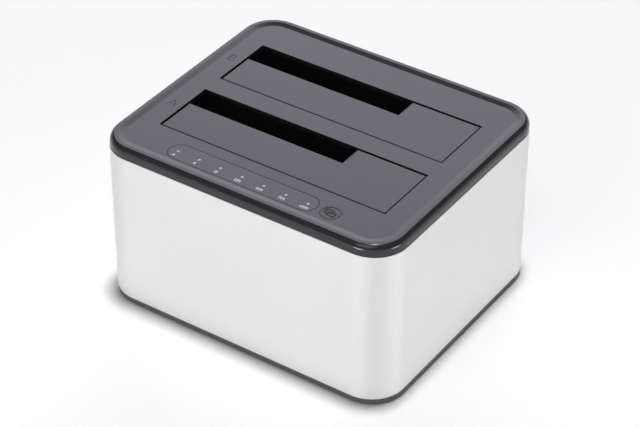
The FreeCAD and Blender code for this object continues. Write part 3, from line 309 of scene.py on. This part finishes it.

# the lid and the flaps get painted shade on their faces below their own tops, inside the rim
cover_plastic = cover_shade("cover_plastic", CHARCOAL, 0.2, FACE)
flap_plastic = cover_shade("flap_plastic", CHARCOAL, 0.22, FACE - FLAP_SINK)
key_plastic = key_shade("key_plastic", (0.0168, 0.0163, 0.0185), 0.24)
inlay_plastic = moulded("inlay_plastic", (0.018, 0.0175, 0.022), 0.16, depth=0.0006,
                        spread=0.02, mottle=0.03)
base_plastic = moulded("base_plastic", (0.068, 0.068, 0.07), 0.42, depth=0.005)
well_plastic = moulded("well_plastic", (0.006, 0.006, 0.007), 0.5, grain=0.4, depth=0.006)
port_plastic = moulded("port_plastic", (0.022, 0.022, 0.024), 0.4, depth=0.005)
connector_plastic = moulded("connector_plastic", (0.012, 0.012, 0.013), 0.35, grain=0.5,
                            depth=0.003)
rubber = moulded("foot_rubber", (0.018, 0.018, 0.018), 0.8, grain=0.15, depth=0.02, mottle=0.15)
chip_epoxy = moulded("chip_epoxy", (0.016, 0.016, 0.018), 0.55, grain=0.12, depth=0.006)
ferrite = moulded("coil_ferrite", (0.05, 0.05, 0.055), 0.65, depth=0.03, mottle=0.2)
white_nylon = moulded("socket_nylon", (0.72, 0.69, 0.6), 0.45)
blue_plastic = moulded("tongue_plastic", (0.012, 0.09, 0.42), 0.35, depth=0.003)
switch_plastic = moulded("switch_plastic", (0.014, 0.014, 0.015), 0.32)
lamp_epoxy = moulded("lamp_epoxy", (0.78, 0.78, 0.66), 0.3, grain=0.2, depth=0.002)
plunger_plastic = moulded("plunger_plastic", (0.02, 0.02, 0.02), 0.4, grain=0.2, depth=0.002)
lens_plastic = moulded("lens_plastic", (0.38, 0.38, 0.41), 0.4, grain=0.2, depth=0.002)
white_ink = ink("white_ink", (0.93, 0.93, 0.95))
dark_ink = ink("dark_ink", (0.012, 0.012, 0.014))
faint_ink = ink("faint_ink", (0.07, 0.069, 0.075))

sleeve_metal = satin_metal("sleeve_metal", (0.768, 0.759, 0.764), 0.5, stretch=ALONG_Z,
                           grain=0.16, depth=0.0012)
steel = satin_metal("pin_steel", (0.62, 0.62, 0.63), 0.22, stretch=ALONG_X)
spring_steel = satin_metal("spring_steel", (0.5, 0.5, 0.5), 0.3)
screw_steel = satin_metal("screw_steel", (0.55, 0.55, 0.56), 0.3, grain=0.2, depth=0.004)
port_metal = satin_metal("port_metal", (0.66, 0.65, 0.62), 0.2, stretch=ALONG_Y)
can_metal = satin_metal("can_metal", (0.7, 0.7, 0.71), 0.28, grain=0.5)
main_green = circuit_board("board_green", (0.008, 0.07, 0.03), (0.75, 0.72, 0.65))
cable_grey = striped("cable_grey", (0.42, 0.42, 0.43), (0.2, 0.2, 0.21), 1.0 * MM, 0.45)
acrylic = clear_rod("pipe_acrylic")

FINISHES = {
    "metal_sleeve": sleeve_metal, "base_tray": base_plastic, "rubber_feet": rubber,
    "top_cover": cover_plastic, "flap_a": flap_plastic, "flap_b": flap_plastic,
    "bay_well_a": well_plastic, "bay_well_b": well_plastic,
    "hinge_pins_a": steel, "hinge_pins_b": steel,
    "flap_spring_a": spring_steel, "flap_spring_b": spring_steel,
    "sata_connector_a": connector_plastic, "sata_connector_b": connector_plastic,
    "main_board": main_green, "panel_board": main_green,
    "board_screws": screw_steel, "base_screws": screw_steel, "panel_screws": screw_steel,
    "bridge_chip": chip_epoxy, "support_chips": chip_epoxy, "power_coils": ferrite,
    "clock_crystal": can_metal, "capacitors": can_metal,
    "port_panel": port_plastic, "usb_port_shell": port_metal, "usb_tongue": blue_plastic,
    "dc_jack": switch_plastic, "dc_centre_pin": port_metal,
    "power_switch_body": switch_plastic, "power_rocker": switch_plastic,
    "indicator_window": inlay_plastic, "indicator_leds": lamp_epoxy, "light_pipes": acrylic,
    "clone_button": key_plastic, "push_switch_body": connector_plastic,
    "push_switch_plunger": plunger_plastic,
    "ribbon_sockets": white_nylon, "ribbon_cable": cable_grey,
}
for name, piece in nodes.items():
    piece.data.materials.clear()
    piece.data.materials.append(FINISHES[name])


# ---------------------------------------------------------------- marks

SHARPEST_JOINT = 0.35  # keeps the outer corner of a bent stroke from running away
CAPITAL_SHARE = 0.7  # height of a capital letter, as a share of the font's size
LETTER_STEPS = 3  # how finely the curves of letters are cut
DOME_RINGS, DOME_SPOKES = 4, 20


def piece_from(mesh, name, material, body):
    mesh.materials.clear()
    mesh.materials.append(material)
    piece = bpy.data.objects.new(name, mesh)
    bpy.context.scene.collection.objects.link(piece)
    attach(piece, body)


def stroke(bm, points, width, level, thick):
    """A flat line of one width along points, standing a little above its level."""
    rows = []
    for index, point in enumerate(points):
        before = points[max(index - 1, 0)]
        after = points[min(index + 1, len(points) - 1)]
        inward = (Vector(point) - Vector(before)).normalized()
        onward = (Vector(after) - Vector(point)).normalized()
        if inward.length == 0:
            inward = onward
        if onward.length == 0:
            onward = inward
        along = (inward + onward).normalized()
        aside = Vector((-along.y, along.x))
        reach = width / 2 / max(SHARPEST_JOINT, aside.dot(Vector((-inward.y, inward.x))))
        left, right = Vector(point) + aside * reach, Vector(point) - aside * reach
        rows.append([bm.verts.new((end.x, end.y, height))
                     for height in (level, level + thick) for end in (left, right)])
    for a, b in zip(rows, rows[1:]):
        bm.faces.new((a[3], a[2], b[2], b[3]))
        bm.faces.new((a[2], a[0], b[0], b[2]))
        bm.faces.new((a[1], a[3], b[3], b[1]))


def arc(x, y, radius, start, end, steps):
    angles = [math.radians(start + (end - start) * step / steps) for step in range(steps + 1)]
    return [(x + radius * math.cos(angle), y + radius * math.sin(angle)) for angle in angles]


def dome(bm, x, y, level, radius, height):
    """A low lens with a rounded brim."""
    turns = [2 * math.pi * spoke / DOME_SPOKES for spoke in range(DOME_SPOKES)]
    rings = []
    for step in range(DOME_RINGS):
        angle = math.pi / 2 * step / DOME_RINGS
        reach, rise = radius * math.cos(angle), height * math.sin(angle)
        rings.append([bm.verts.new((x + reach * math.cos(turn), y + reach * math.sin(turn),
                                    level + rise)) for turn in turns])
    crown = bm.verts.new((x, y, level + height))
    for low, high in zip(rings, rings[1:]):
        for spoke in range(DOME_SPOKES):
            after = (spoke + 1) % DOME_SPOKES
            bm.faces.new((low[spoke], low[after], high[after], high[spoke]))
    for spoke in range(DOME_SPOKES):
        bm.faces.new((rings[-1][spoke], rings[-1][(spoke + 1) % DOME_SPOKES], crown))


def mesh_of(bm, name):
    mesh = bpy.data.meshes.new(name)
    bmesh.ops.recalc_face_normals(bm, faces=bm.faces)
    bm.to_mesh(mesh)
    bm.free()
    return mesh


def lettering(words, x, y, level, height, thick, thin=0.0):
    """Mesh of some letters or digits, centred on a point. Thin takes weight off their lines."""
    curve = bpy.data.curves.new("letters", "FONT")
    curve.body = words
    curve.align_x = "CENTER"
    curve.align_y = "CENTER"
    curve.size = height / CAPITAL_SHARE
    curve.extrude = thick / 2
    curve.offset = -thin
    curve.resolution_u = LETTER_STEPS
    carrier = bpy.data.objects.new("letters", curve)
    bpy.context.scene.collection.objects.link(carrier)
    bpy.context.view_layer.update()
    depsgraph = bpy.context.evaluated_depsgraph_get()
    mesh = bpy.data.meshes.new_from_object(carrier.evaluated_get(depsgraph))
    bpy.data.objects.remove(carrier)
    mesh.transform(Matrix.Translation((x, y, level + thick / 2)))
    return mesh


def joined(parts, name):
    bm = bmesh.new()
    for part in parts:
        bm.from_mesh(part)
    return mesh_of(bm, name)


PRINT = 0.02 * MM  # how far printed marks stand proud
LENS_RADIUS, LENS_HEIGHT = 0.62 * MM, 0.05 * MM
LABELS = ("A", "B", None, "25%", "50%", "75%", "100%")  # the third one is the power sign
LABEL_DROP, LABEL_SHIFT, LABEL_HEIGHT = 2.75 * MM, 0.22 * MM, 1.36 * MM

pipes_low, pipes_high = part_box("light_pipes")
row_y = (pipes_low[1] + pipes_high[1]) / 2
pipe_half = (pipes_high[1] - pipes_low[1]) / 2
row_start, row_end = pipes_low[0] + pipe_half, pipes_high[0] - pipe_half
gaps = len(LABELS) - 1
spots = [row_start + (row_end - row_start) * rank / gaps for rank in range(len(LABELS))]

bm = bmesh.new()
for x in spots:
    dome(bm, x, row_y, FACE, LENS_RADIUS, LENS_HEIGHT)
piece_from(mesh_of(bm, "lamp_lenses"), "lamp_lenses", lens_plastic, "chassis")

# The power sign: a ring that is open at its top, and a bar through the opening.
SIGN_SHIFT, SIGN_LINE, RING_RADIUS = 0.3 * MM, 0.22 * MM, 0.62 * MM
RING_START, RING_END, RING_STEPS = 125, 415, 20  # degrees, degrees and a count
BAR_START, BAR_END = 0.1 * MM, 0.85 * MM

label_y = row_y - LABEL_DROP
labels = [lettering(words, x - LABEL_SHIFT, label_y, FACE, LABEL_HEIGHT, PRINT)
          for words, x in zip(LABELS, spots) if words]
sign_x = spots[LABELS.index(None)] - SIGN_SHIFT
ring = arc(sign_x, label_y, RING_RADIUS, RING_START, RING_END, RING_STEPS)
bar = [(sign_x, label_y + BAR_START), (sign_x, label_y + BAR_END)]
bm = bmesh.new()
for line in (ring, bar):
    stroke(bm, line, SIGN_LINE, FACE, PRINT)
labels.append(mesh_of(bm, "power_sign"))
piece_from(joined(labels, "lamp_labels"), "lamp_labels", white_ink, "chassis")

BAY_LETTERS = {"A": (-57.0 * MM, -19.9 * MM), "B": (-57.0 * MM, 19.8 * MM)}
BAY_LETTER_HEIGHT, BAY_PRINT, BAY_THIN = 4.8 * MM, 0.015 * MM, 0.12 * MM

bay_marks = [lettering(letter, x, y, FACE, BAY_LETTER_HEIGHT, BAY_PRINT, thin=BAY_THIN)
             for letter, (x, y) in BAY_LETTERS.items()]
piece_from(joined(bay_marks, "bay_letters"), "bay_letters", faint_ink, "chassis")

# The copy sign on the button: two overlapping squares and an angle inside the near one.
CLONE_SIGN = (
    [(-0.9, -1.95), (2.35, -1.95), (2.35, 0.65), (-0.9, 0.65), (-0.9, -1.95)],
    [(-1.35, -0.75), (-2.4, -0.75), (-2.4, 1.8), (0.75, 1.8), (0.75, 1.1)],
    [(0.0, -1.1), (0.0, -0.2), (1.45, -0.2)],
)
CLONE_SCALE_X, CLONE_SCALE_Y = 0.94 * MM, 0.9 * MM
CLONE_LINE = 0.42 * MM
KEY_SINK = 0.15 * MM  # depth of the button's face inside its ring

button_low, button_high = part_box("clone_button")
button_x, button_y = (button_low[0] + button_high[0]) / 2, (button_low[1] + button_high[1]) / 2
key_level = button_high[2] - KEY_SINK
bm = bmesh.new()
for line in CLONE_SIGN:
    points = [(button_x + x * CLONE_SCALE_X, button_y + y * CLONE_SCALE_Y) for x, y in line]
    stroke(bm, points, CLONE_LINE, key_level, PRINT)
piece_from(mesh_of(bm, "clone_sign"), "clone_sign", dark_ink, "clone_button")


# ---------------------------------------------------------------- stage, light and camera

FLOOR_WIDTH = 12.0
WHITE = (1.0, 1.0, 1.0)
ROOM = (0.09, 0.09, 0.09)
GLOW = (2.05, 2.02, 2.27)
GLOW_DIRECTION = Vector((-0.38, 0.775, 0.495))
GLOW_EDGE, GLOW_CORE = 0.92, 0.972  # cosines of the angle from the glow's middle
HORIZON_TOP, HORIZON_BOTTOM = 0.20, 0.08  # sines of the height above the horizon

# Name: place, aim, width, height, watts. The strips stay below the lid's top, so they
# brighten the metal's corners without a glare on the lid.
LAMPS = {
    "top_softbox": ((0.03, 0.07, 2.6), (0, 0, 0), 0.26, 0.26, 43.5),
    "front_softbox": ((0.1, -0.95, 1.25), (0, 0, 0), 1.0, 1.0, 4.8),
    "front_strip": ((-0.1, -1.17, 0.036), (0, 0, 0.036), 0.46, 0.066, 3.8),
    "side_strip": ((1.18, 0.03, 0.036), (0, 0, 0.036), 0.4, 0.066, 3.1),
}

CAMERA_PLACE = (0.41085, -0.60807, 0.57350)
CAMERA_BACK = (0.45075, -0.66678, 0.59349)  # points away from what the camera sees
CAMERA_ROLL = 0.205  # degrees
FOCAL_LENGTH, SENSOR_WIDTH = 128.4, 36.0  # millimetres
NEAREST = 0.01


def stage_plane(name, width, level):
    bm = bmesh.new()
    bmesh.ops.create_grid(bm, x_segments=2, y_segments=2, size=width / 2)
    plane = bpy.data.objects.new(name, mesh_of(bm, name))
    plane.location.z = level
    bpy.context.scene.collection.objects.link(plane)
    return plane


def paper(name):
    """Plain matt paper, a little uneven."""
    recipe = Recipe(name)
    uneven = recipe.noise(1.5 * MM, detail=2.0)
    recipe.colour(recipe.blend(uneven, (0.95, 0.95, 0.95), (0.97, 0.97, 0.97)))
    recipe.set(Roughness=0.9, Specular_IOR_Level=0.0)
    return recipe.material


def studio_world():
    """A dim room with a white horizon and one wide glow behind the object, at its left."""
    world = bpy.data.worlds.new("studio")
    bpy.context.scene.world = world
    world.use_nodes = True
    tree = world.node_tree
    tree.nodes.clear()
    direction = tree.nodes.new("ShaderNodeTexCoord").outputs["Generated"]

    def fade(value, start, end):
        node = tree.nodes.new("ShaderNodeMapRange")
        node.interpolation_type = "SMOOTHSTEP"
        node.inputs["From Min"].default_value = start
        node.inputs["From Max"].default_value = end
        tree.links.new(value, node.inputs["Value"])
        return node.outputs["Result"]

    def tint(fac, low, high):
        node = tree.nodes.new("ShaderNodeMix")
        node.data_type = "RGBA"
        first, second = (node.inputs[index] for index in COLOUR_ENDS)
        if isinstance(low, tuple):
            first.default_value = (*low, 1)
        else:
            tree.links.new(low, first)
        second.default_value = (*high, 1)
        tree.links.new(fac, node.inputs[0])
        return node.outputs[COLOUR_RESULT]

    toward = tree.nodes.new("ShaderNodeVectorMath")
    toward.operation = "DOT_PRODUCT"
    toward.inputs[1].default_value = GLOW_DIRECTION.normalized()
    tree.links.new(direction, toward.inputs[0])
    split = tree.nodes.new("ShaderNodeSeparateXYZ")
    tree.links.new(direction, split.inputs[0])
    room = tint(fade(toward.outputs["Value"], GLOW_EDGE, GLOW_CORE), ROOM, GLOW)
    whole = tint(fade(split.outputs["Z"], HORIZON_TOP, HORIZON_BOTTOM), room, WHITE)
    sky = tree.nodes.new("ShaderNodeBackground")
    tree.links.new(whole, sky.inputs["Color"])
    output = tree.nodes.new("ShaderNodeOutputWorld")
    tree.links.new(sky.outputs["Background"], output.inputs["Surface"])


def softbox(name, place, aim, width, height, watts):
    """A rectangular lamp that lights and is mirrored, but isn't seen by the camera itself."""
    lamp = bpy.data.lights.new(name, "AREA")
    lamp.shape = "RECTANGLE"
    lamp.size = width
    lamp.size_y = height
    lamp.energy = watts
    holder = bpy.data.objects.new(name, lamp)
    holder.location = place
    holder.visible_camera = False
    aim_line = Vector(aim) - Vector(place)
    holder.rotation_euler = aim_line.to_track_quat("-Z", "Y").to_euler()
    bpy.context.scene.collection.objects.link(holder)


def photo_camera():
    """The photograph's camera, solved from the bays and the outline."""
    back = Vector(CAMERA_BACK).normalized()
    level = Vector((-back.y, back.x, 0)).normalized()
    upright = back.cross(level)
    roll = math.radians(CAMERA_ROLL)
    right = level * math.cos(roll) + upright * math.sin(roll)
    up = back.cross(right)
    lens = bpy.data.cameras.new("photo_camera")
    lens.lens = FOCAL_LENGTH
    lens.sensor_width = SENSOR_WIDTH
    lens.clip_start = NEAREST
    camera = bpy.data.objects.new("photo_camera", lens)
    turned = Matrix((right, up, back)).transposed().to_4x4()
    camera.matrix_world = Matrix.Translation(CAMERA_PLACE) @ turned
    bpy.context.scene.collection.objects.link(camera)
    bpy.context.scene.camera = camera


floor = stage_plane("studio_floor", FLOOR_WIDTH, cad_low[2])
floor.data.materials.append(paper("studio_floor"))
studio_world()
for name, settings in LAMPS.items():
    softbox(name, *settings)
photo_camera()
bpy.context.scene.view_settings.view_transform = "Standard"
